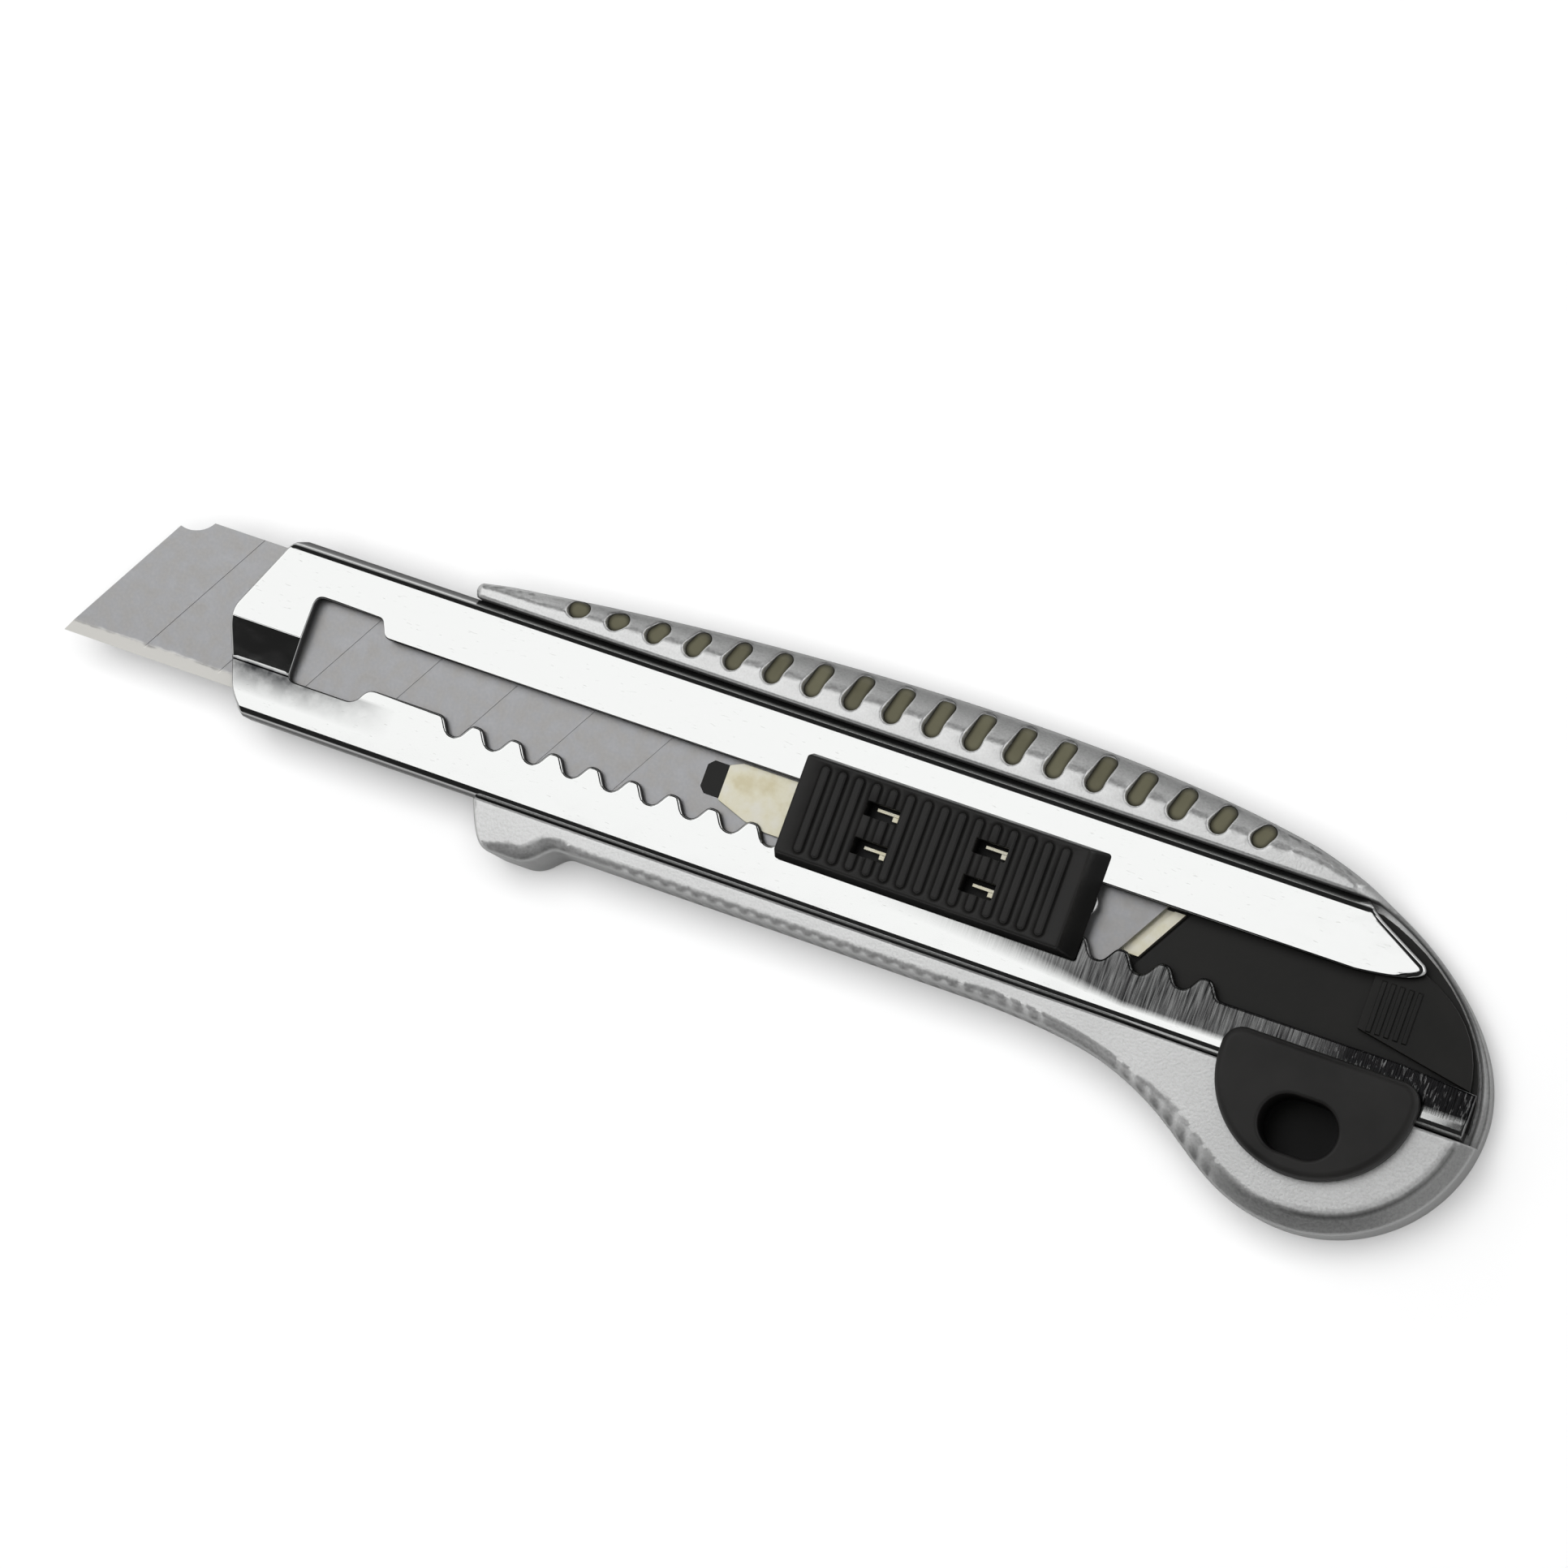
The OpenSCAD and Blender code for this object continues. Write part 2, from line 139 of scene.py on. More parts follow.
def nearest(points, path, closed=True):
    """Distance from each point to the path, and where along it (segment number and share)."""
    a = path
    b = np.roll(path, -1, axis=0)
    if not closed:
        a, b = path[:-1], path[1:]
    best = np.full(len(points), np.inf)
    where = np.zeros(len(points))
    for i, (p, q) in enumerate(zip(a, b)):
        d = q - p
        t = np.clip(((points - p) @ d) / max(d @ d, 1e-12), 0, 1)
        gap = np.hypot(*(points - p - t[:, None] * d).T)
        closer = gap < best
        best[closer] = gap[closer]
        where[closer] = i + t[closer]
    return best, where


def inside(points, loop):
    """Whether each point lies inside the closed loop."""
    x, y = points.T
    within = np.zeros(len(points), bool)
    for (x0, y0), (x1, y1) in zip(loop, np.roll(loop, -1, axis=0)):
        crosses = (y0 > y) != (y1 > y)
        at = x0 + (y - y0) / (y1 - y0 if y1 != y0 else 1e-12) * (x1 - x0)
        within ^= crosses & (x < at)
    return within


def signed(points, loop):
    """Distance outside the loop, negative inside it."""
    gap = nearest(points, loop)[0]
    return np.where(inside(points, loop), -gap, gap)


def inset(loop, distance):
    """The closed loop moved inwards (outwards if negative), and which points didn't fold over."""
    ahead = np.roll(loop, -1, axis=0) - loop
    ahead /= np.maximum(np.hypot(*ahead.T), 1e-9)[:, None]
    behind = np.roll(ahead, 1, axis=0)
    turned = np.roll(loop, -1, axis=0)
    area = np.sum(loop[:, 0] * turned[:, 1] - turned[:, 0] * loop[:, 1])
    normal = np.column_stack((-ahead[:, 1], ahead[:, 0])) + np.column_stack((-behind[:, 1], behind[:, 0]))
    sharpest = -0.6
    square = 1 + np.clip((ahead * behind).sum(axis=1), sharpest, 1)
    moved = loop + normal * (np.sign(area) * distance / square)[:, None]
    keep = nearest(moved, loop)[0] > abs(distance) * 0.97 - 1e-6
    return moved, keep


def ease(x, low, high):
    """A smooth rise from 0 at low to 1 at high, or the reverse where high is the lower."""
    t = np.clip((x - low) / (high - low), 0, 1)
    return t * t * (3 - 2 * t)


def rounded(gap, radius):
    """How far a rounded edge has dropped, gap mm in from its rim."""
    t = np.clip(gap, 0, radius)
    return radius - np.sqrt(np.maximum(radius ** 2 - (radius - t) ** 2, 0))


# ---------------------------------------------------------------- meshes

def place(points, heights):
    """Plan points and heights in mm to metres in the row frame."""
    out = np.empty((len(points), 3))
    out[:, 0] = BLADE_POINT[0] + points[:, 0] * MM
    out[:, 1] = BLADE_POINT[1] + points[:, 1] * MM
    out[:, 2] = np.asarray(heights) * MM
    return out


def new_object(name, shells, body, shade=None):
    """One smooth-shaded piece from shells of (vertices, faces), with a painted shade for each vertex."""
    smooth_angle = 35
    vertices, faces = [], []
    for points, corners in shells:
        faces += [[i + len(vertices) for i in face] for face in corners]
        vertices += [tuple(p) for p in points]
    mesh = bpy.data.meshes.new(name)
    mesh.from_pydata(vertices, [], faces)
    mesh.validate()
    piece = bpy.data.objects.new(name, mesh)
    bpy.context.scene.collection.objects.link(piece)
    mesh.shade_smooth()
    mesh.set_sharp_from_angle(angle=math.radians(smooth_angle))
    if shade is not None:
        layer = mesh.attributes.new("shade", "FLOAT", "POINT")
        layer.data.foreach_set("value", shade)
    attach(piece, body)
    return piece


def relief(outline, lines, top, bottom, wall):
    """A closed shell over a plan: top and bottom are heights over the plan, and wall gives the
    levels of its side as (share of the height from the top, function moving the edge points)."""
    points, edges = [], []
    for line, keep, closed in [(outline, np.ones(len(outline), bool), True)] + lines:
        start = len(points)
        points.extend(Vector(p) for p in line)
        last = len(line) if closed else len(line) - 1
        for i in range(last):
            j = (i + 1) % len(line)
            if keep[i] and keep[j]:
                edges.append((start + i, start + j))
    loose = set(range(len(points))) - {i for edge in edges for i in edge}
    if loose:
        used = [i for i in range(len(points)) if i not in loose]
        number = {old: new for new, old in enumerate(used)}
        points = [points[i] for i in used]
        edges = [(number[a], number[b]) for a, b in edges]
    face = list(range(len(outline)))
    plan, _, triangles, *_ = delaunay_2d_cdt(points, edges, [face], 1, 1e-5)
    plan = np.array([tuple(p) for p in plan])
    count = len(plan)
    upper, lower = top(plan), bottom(plan)
    vertices = [place(plan, upper), place(plan, lower)]
    faces = []
    sides = {}
    triangles = np.array([list(t) for t in triangles])
    triangles = triangles[inside(plan[triangles].mean(axis=1), outline)]
    for t in triangles.tolist():
        a, b, c = plan[t[0]], plan[t[1]], plan[t[2]]
        if (b[0] - a[0]) * (c[1] - a[1]) - (b[1] - a[1]) * (c[0] - a[0]) < 0:
            t.reverse()
        faces.append(t)
        faces.append([count + i for i in reversed(t)])
        for i in range(3):
            sides[(t[i], t[(i + 1) % 3])] = True
    rim = [edge for edge in sides if (edge[1], edge[0]) not in sides]
    rim_points = sorted({i for edge in rim for i in edge})
    rings = [{i: i for i in rim_points}]
    total = 2 * count
    for share, move in wall:
        moved = move(plan[rim_points])
        heights = upper[rim_points] * (1 - share) + lower[rim_points] * share
        vertices.append(place(moved, heights))
        rings.append({i: total + k for k, i in enumerate(rim_points)})
        total += len(rim_points)
    rings.append({i: count + i for i in rim_points})
    for above, below in zip(rings, rings[1:]):
        for a, b in rim:
            faces.append([above[b], above[a], below[a], below[b]])
    used = sorted({i for face in faces for i in face})
    renumbered = {old: new for new, old in enumerate(used)}
    return np.vstack(vertices)[used], [[renumbered[i] for i in face] for face in faces]


def whole(line, closed=True):
    """A line for relief(), kept from end to end."""
    return (np.array(line, float), np.ones(len(line), bool), closed)


def rings_of(loop, distances):
    """Lines for relief() that run beside a loop at several distances."""
    return [inset(loop, d) + (True,) for d in distances]


# ---------------------------------------------------------------- the cast handle

def handle_outline():
    """Outline of the handle and, for each point, the width and drop of its shoulder."""
    spine_end = (152, 23.3)
    rear, palm, neck, belly = (180, -1), (162, -18.6), (143.4, -10.3), (120, -5.6)
    notch, hook, heel, corner = (68.6, -5.7), (63.4, -8.4), (60.6, -8.4), (56.4, -2.9)
    parts = [
        (arc((49.0, 20.5), 1.0, 210, 120, 8), (0.5, 0.3)),
        (straight((48.6, 21.4), (51.5, 22), 8), (0.9, 0.4)),
        (curve((51.5, 22), (68, 24.4), (90, 26.5), (112, 26.5), 130), None),
        (curve((112, 26.5), (126, 26.5), (140, 25.8), spine_end, 90), None),
        (curve(spine_end, (168.5, 19), (180, 9.5), rear, 90), (1.1, 0.9)),
        (curve(rear, (180, -10.5), (172, -18.6), palm, 70), (2.2, 1.7)),
        (curve(palm, (153.5, -18.6), (149.5, -13.5), neck, 60), (2.0, 1.5)),
        (curve(neck, (137, -7), (131, -5.9), belly, 70), (1.3, 1.0)),
        (straight(belly, notch, 160), (0.8, 0.6)),
        (curve(notch, (66.6, -5.7), (66.4, -8.4), hook, 30), (1.5, 1.1)),
        (straight(hook, heel, 12), (1.5, 1.1)),
        (curve(heel, (58.9, -8.4), (58, -6.6), corner, 30), (0.45, 0.4)),
        (straight(corner, (48.2, 19.6), 24), (0.5, 0.4)),
    ]
    points = np.vstack([p for p, _ in parts])
    shoulder = []
    for p, size in parts:
        if size is None:
            width = 0.55 * (p[:, 1] - TROUGH_HIGH)
            shoulder.append(np.column_stack((width, 0.84 * width)))
        else:
            shoulder.append(np.tile(size, (len(p), 1)))
    shoulder = np.vstack(shoulder)
    reach = 9
    padded = np.vstack((shoulder[-reach:], shoulder, shoulder[:reach]))
    kernel = np.ones(2 * reach + 1) / (2 * reach + 1)
    blended = np.column_stack([np.convolve(padded[:, k], kernel, "valid") for k in (0, 1)])
    return points, blended


def trough_outline():
    end = 178.7
    rear = curve((160.5, TROUGH_HIGH), (168.6, 16.8), (end, 9.4), (end, -1), 60)
    return np.vstack(([(30, TROUGH_LOW), (30, TROUGH_HIGH)], rear, [(end, -1), (end, TROUGH_LOW)]))


def dimple(number):
    """The tapered slot of one dimple on the back of the handle."""
    low = np.array((60.4 + number * DIMPLE_PITCH, 22.0))
    spine = handle_outline()[0][16:240]
    reach = np.interp(low[0], *spine.T) - DIMPLE_MARGIN - DIMPLE_TIP
    high = np.array((low[0] + 0.5, max(low[1] + 0.05, min(30, reach))))
    return tapered(low, DIMPLE_RADIUS, high, DIMPLE_TIP)


def grip_depth(points):
    """How deep the small scallops on the lower arm and the neck are at each point, from 0 to 1."""
    along, across = points.T
    zone = ease(along, 74, 77) * (1 - ease(along, 128, 131))
    zone += ease(along, 138, 140) * (1 - ease(along, 152, 154))
    return zone * (across < -4) * (0.5 - 0.5 * np.cos(along * math.pi)) ** 2


def grip_wave(points):
    """Points of the wall, drawn in at the scallops."""
    moved = points.copy()
    moved[:, 1] += 0.3 * grip_depth(points)
    return moved


def face_height(points, outline, shoulder):
    """Height of the handle's face, which falls away in shoulders and a rounded edge."""
    gap, where = nearest(points, outline)
    size = shoulder[np.minimum(where.astype(int), len(shoulder) - 1)]
    depth = np.clip(1 - gap / size[:, 0], 0, 1)
    ripple = 0.45 * depth * grip_depth(points)
    return FACE - size[:, 1] * depth ** 1.1 - ripple - rounded(gap, EDGE)


def shoulder_shade(vertices, outline, shoulder):
    """Painted shade of each vertex: 0 on the flat face, rising over the shoulder, darkest in the palm's
    crease, and weaker towards the front end.
    """
    plan = (vertices - BLADE_POINT)[:, :2] / MM
    gap, where = nearest(plan, outline)
    share = 1 - gap / shoulder[np.minimum(where.astype(int), len(shoulder) - 1)][:, 0]
    palm = ease(plan[:, 0], 148, 156) * (plan[:, 1] < TROUGH_LOW)
    # Painted shade along the palm's crease.
    crease = 0.7 * palm * np.exp(-((share - 0.1) / 0.09) ** 2)
    tone = 0.62 * ease(share, -0.05, 0.35 + 0.5 * (1 - palm)) + crease
    return tone * (0.55 + 0.45 * ease(plan[:, 0], 52, 66))


def depth_shade(vertices, light, dark):
    """Painted shade of each vertex: 0 above the light height, rising to 1 at the dark one, both in mm."""
    return 1 - ease(vertices[:, 2] / MM, dark, light)


def cast_handle():
    """The casting: face, shoulder, trough, dimples, the plug's socket and the holes underneath."""
    outline, shoulder = handle_outline()
    trough = trough_outline()
    socket = pill(RECESS - (2, 0), RECESS + (2, 0), 4.05)
    dimples = [dimple(i) for i in range(DIMPLES)]
    step = TROUGH_LOW - 0.1
    lip_r = 0.3
    rear_cut, socket_floor, screw_r, screw_z, rivet_r, rivet_z = 150, 3.0, 2.9, 1.2, 1.5, 0.9

    def top(points):
        height = face_height(points, outline, shoulder)
        along, across = points.T
        gap = nearest(points, outline)[0]
        cap = RIM + (FACE - RIM) * (1 - ease(along, 157.5, 163)) - rounded(gap, EDGE)
        behind = (across > step) & (along > rear_cut)
        height = np.where(behind, np.minimum(height, cap), height)
        step_gap = np.where((along > 165) & ~behind, step - across, 9)
        height -= rounded(step_gap, EDGE)
        beside = signed(points, trough)
        height -= np.where(beside > -0.01, rounded(beside, EDGE), 0)
        height = np.where(beside < -0.01, BED, height)
        for loop in dimples:
            near = np.abs(points[:, 0] - loop[:, 0].mean()) < 4
            off = signed(points[near], loop)
            rim = height[near] - np.where(off > -0.01, rounded(off, lip_r), 0)
            height[near] = np.where(off < -0.01, np.minimum(rim, DIMPLE_FLOOR), rim)
        return np.where(signed(points, socket) < -0.01, socket_floor, height)

    def bottom(points):
        height = rounded(nearest(points, outline)[0], 0.6)
        height = np.where(np.hypot(*(points - RECESS).T) < screw_r - 0.01, screw_z, height)
        for rivet in RIVETS:
            height = np.where(np.hypot(*(points - rivet).T) < rivet_r + 0.01, rivet_z, height)
        return height

    lines = rings_of(outline, (0.05, 0.12, 0.22, 0.35, 0.45, 0.7, 1.0, 1.3, 1.6, 2.0, 2.5,
                               3.1, 3.8, 4.3))
    lines += rings_of(trough, (0.02, 0, -0.05, -0.12, -0.22, -0.35, -0.42, -0.6))
    for loop in dimples:
        lines += rings_of(loop, (0.02, 0, -0.04, -0.1, -0.18, -0.3))
    lines += rings_of(socket, (0.02, 0))
    for radius in (screw_r - 0.02, screw_r):
        lines.append(whole(arc(RECESS, radius, 0, 354, 40)))
    for rivet in RIVETS:
        lines += [whole(arc(rivet, radius, 0, 350, 24)) for radius in (rivet_r, rivet_r + 0.02)]
    for drop in (-0.01, 0.01, 0.05, 0.12, 0.22, 0.35, 0.45):
        lines.append(whole([(177, step - drop), (181, step - drop)], False))
    for along in np.arange(157.5, 163.1, 0.5):
        lines.append(whole([(along, 18), (along, 24)], False))
    wall = [(0.06, lambda points: points)] + [(share, grip_wave) for share in (0.12, 0.3, 0.6, 0.85)]
    shell = relief(outline, lines, top, bottom, wall)
    # Painted shade over the shoulders, the walls and the palm's crease, stored with each vertex.
    return new_object("cast_handle", [shell], "handle",
                      shade=shoulder_shade(shell[0], outline, shoulder))


def soft_inlays():
    """The soft pads moulded into the dimples, crowned and dying out with the shoulder."""
    outline, shoulder = handle_outline()
    shells = []
    for number in range(DIMPLES):
        loop = inset(dimple(number), 0.03)[0]

        def top(points):
            surface = np.minimum(INLAY_TOP, face_height(points, outline, shoulder) - 0.12)
            return surface - rounded(-signed(points, loop), 0.15)

        def bottom(points):
            return np.full(len(points), DIMPLE_FLOOR - 0.6)

        lines = rings_of(loop, (0.03, 0.08, 0.15, 0.3, 0.45, 0.6, 0.75))
        shells.append(relief(loop, lines, top, bottom, [(0.5, lambda points: points)]))
    plan = (np.vstack([points for points, _ in shells]) - BLADE_POINT)[:, :2] / MM
    gap = np.min([nearest(plan, dimple(number))[0] for number in range(DIMPLES)], axis=0)
    # Painted shade round the edge of each pad, so it looks recessed in its dimple.
    shade = 0.85 * (1 - ease(gap, 0.05, 0.7))
    return new_object("soft_inlays", shells, "handle", shade=shade)


# ---------------------------------------------------------------- the steel channel

SIDE_LOW, SIDE_HIGH = -2.8, 19.5
LOWER_FACE = FACE - 0.5
NOTCH_TOP, NOTCH_DEPTH, NOTCH_PITCH, NOTCH_COUNT, FIRST_NOTCH = 5.05, 1.96, 5.08, 19, 51.4
SLOT_TOP = 11.35
FOLD = 8.1
NOSE_FOLD = 3.4
NOSE_LENGTH = 35
REAR_END = 178.1
REAR_TIP = (167.9, 14.4)
REAR_CORNERS = [(161.4, 17.9), (159.6, SIDE_HIGH)]


def notched_edge():
    """The wave of the lock notches, from the rear forwards."""
    along = FIRST_NOTCH + NOTCH_PITCH * np.linspace(NOTCH_COUNT, -0.5, int((NOTCH_COUNT + 0.5) * 18))
    c = np.cos((along - FIRST_NOTCH) * 2 * math.pi / NOTCH_PITCH)
    return np.column_stack((along, NOTCH_TOP - NOTCH_DEPTH / 2 * (1 + 1.4 * c - 0.4 * c ** 3)))


def nose_edge():
    """The front end of the channel, from its upper side to its lower one."""
    return filleted([(25.6, SIDE_HIGH), (24.4, 18.8), (23.9, 17.5), (20.2, 9.2), (20.4, 7.4),
                     (22.1, 3.3), (23.5, -0.4), (25.6, SIDE_LOW)], 1.2)


def cut_edge():
    """The cut edge of the rails: up the rear end, along the slot and window, and down the nose."""
    front, low, high = 29.7, 2.9, 13.45
    near = filleted([(48.8, NOTCH_TOP), (39.7, NOTCH_TOP), (38.4, low), (front, low), (front, 8)], 1.0, 8)
    far = filleted([(front, 8), (front, high), (32, high)], 1.4, 8)
    step = filleted([(32, high), (38.5, high), (39.5, SLOT_TOP), (60, SLOT_TOP)], 0.6, 8)
    window = np.vstack((near, far, step))
    tip = curve((160.7, SLOT_TOP), (167.8, 12.1), (169.3, 13.1), REAR_TIP, 20)
    diagonal = filleted([REAR_TIP] + REAR_CORNERS, 1)
    rear = [(REAR_END, SIDE_LOW), (REAR_END, 2.5), (169.2, 3.1)]
    return np.vstack((rear, notched_edge(), window, tip, diagonal)), nose_edge()


def sheet_height(points):
    """Outer height of the bent sheet, before its cut edges are rounded."""
    along, across = points.T
    step = np.where(along < NOSE_LENGTH, NOSE_FOLD, NOTCH_TOP + 0.1)
    share = np.clip((across - step) / (FOLD - step), 0, 1)
    height = LOWER_FACE + (FACE - LOWER_FACE) * share
    bend_r, bend_at, tilt = 1.6, SIDE_HIGH - 1.9, math.radians(28)
    reach = np.clip(across - bend_at, 0, bend_r * math.cos(tilt))
    height -= bend_r - np.sqrt(bend_r ** 2 - reach ** 2)
    height -= np.maximum(across - bend_at - bend_r * math.cos(tilt), 0) / math.tan(tilt)
    ridge = np.exp(-((across - step) / 0.1) ** 2) + np.exp(-((across - FOLD) / 0.1) ** 2)
    height += np.where(along < NOSE_LENGTH, 0.05 * ridge, 0)
    return height - rounded(across - SIDE_LOW, 1.0)


def notched_channel():
    """The channel: a skin of both rails and their sides, and the base plate under it."""
    rails, nose = cut_edge()
    outline = np.vstack((rails, nose))
    walls = (SIDE_LOW + SHEET, SIDE_HIGH - SHEET)
    seam = BED + SHEET
    head_r, head_z = 2.6, BED + 0.3

    def top(points):
        along, across = points.T
        gap = np.minimum(nearest(points, rails, False)[0], nearest(points, nose, False)[0])
        radius = np.where((along > 45) & (along < 150) & (across < 8), 0.42, 0.22)
        radius = np.where((along > 36) & (along < 158) & (across > 8), 0.1, radius)
        radius = np.where((along > 160.5) & (across > 12.5), 0.55, radius)
        return sheet_height(points) - rounded(gap, radius)

    def bottom(points):
        across = points[:, 1]
        return np.where((across < walls[0]) | (across > walls[1]), seam, sheet_height(points) - SHEET)

    def base_top(points):
        height = np.full(len(points), seam)
        for rivet in RIVETS:
            height = np.where(np.hypot(*(points - rivet).T) < head_r + 0.01, head_z, height)
        return height

    def base_bottom(points):
        side = np.minimum(points[:, 1] - SIDE_LOW, SIDE_HIGH - points[:, 1])
        return BED + rounded(side, SHEET - 0.05)

    def lengthways(places, start=19.5, stop=178):
        return [whole([(start, across), (stop, across)], False) for across in places]

    lines = rings_of(outline, (0.05, 0.11, 0.18, 0.28, 0.42, 0.55, 0.8))
    lines += lengthways((-2.77, -2.68, -2.5, -2.3, walls[0] - 0.01, walls[0] + 0.01, -1.8))
    lines += lengthways((17.6, 17.9, 18.2, 18.5, walls[1] - 0.01, walls[1] + 0.01, 19.0, 19.03),
                        25, 161)
    folds = [fold + side for fold in (NOSE_FOLD, FOLD)
             for side in (-0.2, -0.12, -0.06, 0, 0.06, 0.12, 0.2)]
    lines += lengthways(folds, 19, NOSE_LENGTH - 0.1) + lengthways((FOLD,), NOSE_LENGTH, 41)
    lines += [whole([(NOSE_LENGTH + side, -2), (NOSE_LENGTH + side, FOLD)], False)
              for side in (-0.05, 0.05)]
    skin = relief(outline, lines, top, bottom, [])
    rear = curve(REAR_TIP, (173, 11), (177, 7), (REAR_END, 1.8), 12)
    plan = np.vstack((nose, [(REAR_END, SIDE_LOW), (REAR_END, 1.8)], rear[::-1], REAR_CORNERS))
    lines = lengthways((-2.75, -2.65, -2.5, -2.3, -2.05, 18.75, 19.0, 19.2, 19.35, 19.45), 30, 159)
    lines += [whole(arc(rivet, radius, 0, 350, 24))
              for rivet in RIVETS for radius in (head_r, head_r + 0.02)]
    base = relief(plan, lines, base_top, base_bottom, [])
    return new_object("notched_channel", [skin, base], "handle")


# ---------------------------------------------------------------- the end plug

def plug_outline():
    """The half round outline of the plug, its two upper corners rounded."""
    centre, across_r, along_r, top_y, corner = (161.2, -1.8), 11.6, 11.2, 1.2, 2.4
    bowl = [(centre[0] + across_r * math.cos(a), centre[1] + along_r * math.sin(a))
            for a in np.linspace(math.pi, 2 * math.pi, 70)]
    right = centre[0] + across_r - corner
    left = centre[0] - across_r + corner
    return np.vstack((bowl, arc((right, top_y - corner), corner, 0, 90, 12),
                      arc((left, top_y - corner), corner, 90, 180, 12)))


def recessed_plug():
    """The end plug, with its blind oval recess and the boss that goes into the casting."""
    outline = plug_outline()
    mouth = pill(RECESS - (1.25, 0), RECESS + (1.25, 0), 3.3, 24)
    boss = pill(RECESS - (2, 0), RECESS + (2, 0), 4.0, 20)
    edge_r, mouth_r = 0.9, 0.4
    recess_floor, boss_z = 5, 3.05

    def top(points):
        height = PLUG_TOP - rounded(nearest(points, outline)[0], edge_r)
        off = signed(points, mouth)
        height -= np.where(off > -0.01, rounded(off, mouth_r), 0)
        return np.where(off < -0.01, recess_floor, height)

    def bottom(points):
        return np.where(signed(points, boss) < -0.01, boss_z, PLUG_SEAT)

    lines = rings_of(outline, (0.03, 0.1, 0.22, 0.4, 0.6, 0.9, 1.0))
    lines += rings_of(mouth, (0.02, 0, -0.03, -0.08, -0.16, -0.27, -0.4, -0.5))
    lines += rings_of(boss, (0.02, 0))
    shell = relief(outline, lines, top, bottom, [(0.5, lambda points: points)])
    # Painted shade on the plug's sides and down its recess.
    return new_object("recessed_plug", [shell], "handle",
                      shade=depth_shade(shell[0], PLUG_TOP - 0.5, PLUG_TOP - 1.2))


# ---------------------------------------------------------------- the thumb knob

def ribbed_knob():
    """The slider's knob: raised thumb ribs in shallow grooves, and four windows for the tabs."""
    low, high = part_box("slider_knob")
    x0, x1 = ((c[0] - BLADE_POINT[0]) / MM for c in (low, high))
    y0, y1 = ((c[1] - BLADE_POINT[1]) / MM for c in (low, high))
    rib_h, groove_depth = 0.35, 0.16
    face = high[2] / MM - rib_h
    front, rear, draft = 0.4, 1.8, 0.45
    seat, window_floor = FACE + 0.05, FACE + 0.35
    outline = box_loop(x0 + front, y0 + draft, x1 - rear, y1 - draft, 0.4)
    outline = np.vstack([straight(a, b, 12) if math.hypot(*(b - a)) > 3 else [a]
                         for a, b in zip(outline, np.roll(outline, -1, axis=0))])
    ribs = [pill((96.4 + i * 2.115, 3.6), (96.4 + i * 2.115, 13.05), 0.5, 9) for i in range(15)]
    windows = [box_loop(x - 1, y, x + 3, y + size, 0.12)
               for x in (103.3, 116.7) for y, size in ((5.1, 1.9), (9.7, 1.7))]

    def top(points):
        height = face - rounded(nearest(points, outline)[0], 0.3)
        for rib in ribs:
            near = np.abs(points[:, 0] - rib[:, 0].mean()) < 1.2
            off = signed(points[near], rib)
            raised = face + rib_h - rounded(-off, 0.22)
            groove = height[near] - groove_depth * (1 - ease(off, 0.08, 0.34))
            height[near] = np.where(off <= 0.001, np.maximum(raised, face - groove_depth), groove)
        for window in windows:
            off = signed(points, window)
            height = height - np.where(off > -0.01, rounded(off, 0.1), 0)
            height = np.where(off < -0.01, window_floor, height)
        return height

    def bottom(points):
        return np.full(len(points), seat)

    def flared(share):
        left = 1 - share

        def move(points):
            x = np.interp(points[:, 0], (x0 + front, x1 - rear), (x0 + front * left, x1 - rear * left))
            y = np.interp(points[:, 1], (y0 + draft, y1 - draft), (y0 + draft * left, y1 - draft * left))
            return np.column_stack((x, y))
        return share, move

    lines = rings_of(outline, (0.03, 0.09, 0.18, 0.3, 0.4))
    for rib in ribs:
        lines += rings_of(rib, (0.3, 0.22, 0.12, 0.05, 0, -0.08, -0.2, -0.34))
    for window in windows:
        lines += rings_of(window, (0.02, 0, -0.04, -0.1))
    shell = relief(outline, lines, top, bottom, [flared(share) for share in (0.25, 0.5, 0.75, 0.95, 1)])
    # Painted shade on the knob's sides and in its windows.
    return new_object("ribbed_knob", [shell], "slider",
                      shade=depth_shade(shell[0], face - 0.4, face - 1.2))


# ---------------------------------------------------------------- materials

def shader(name, base, metallic, roughness, **sockets):
    """A new material; returns it with its tree, its Principled node and object coordinates."""
    material = bpy.data.materials.new(name)
    material.use_nodes = True
    tree = material.node_tree
    bsdf = tree.nodes["Principled BSDF"]
    bsdf.inputs["Base Color"].default_value = (*base, 1)
    bsdf.inputs["Metallic"].default_value = metallic
    bsdf.inputs["Roughness"].default_value = roughness
    for key, value in sockets.items():
        bsdf.inputs[key.replace("_", " ")].default_value = value
    coords = tree.nodes.new("ShaderNodeTexCoord")
    return material, tree, bsdf, coords.outputs["Object"]


def noise(tree, coords, scale, detail=3, stretch=(1, 1, 1), turn=0):
    mapping = tree.nodes.new("ShaderNodeMapping")
    mapping.inputs["Scale"].default_value = stretch
    mapping.inputs["Rotation"].default_value = (0, 0, turn)
    tree.links.new(coords, mapping.inputs["Vector"])
    node = tree.nodes.new("ShaderNodeTexNoise")
    node.inputs["Scale"].default_value = scale
    node.inputs["Detail"].default_value = detail
    tree.links.new(mapping.outputs["Vector"], node.inputs["Vector"])
    return node.outputs["Fac"]


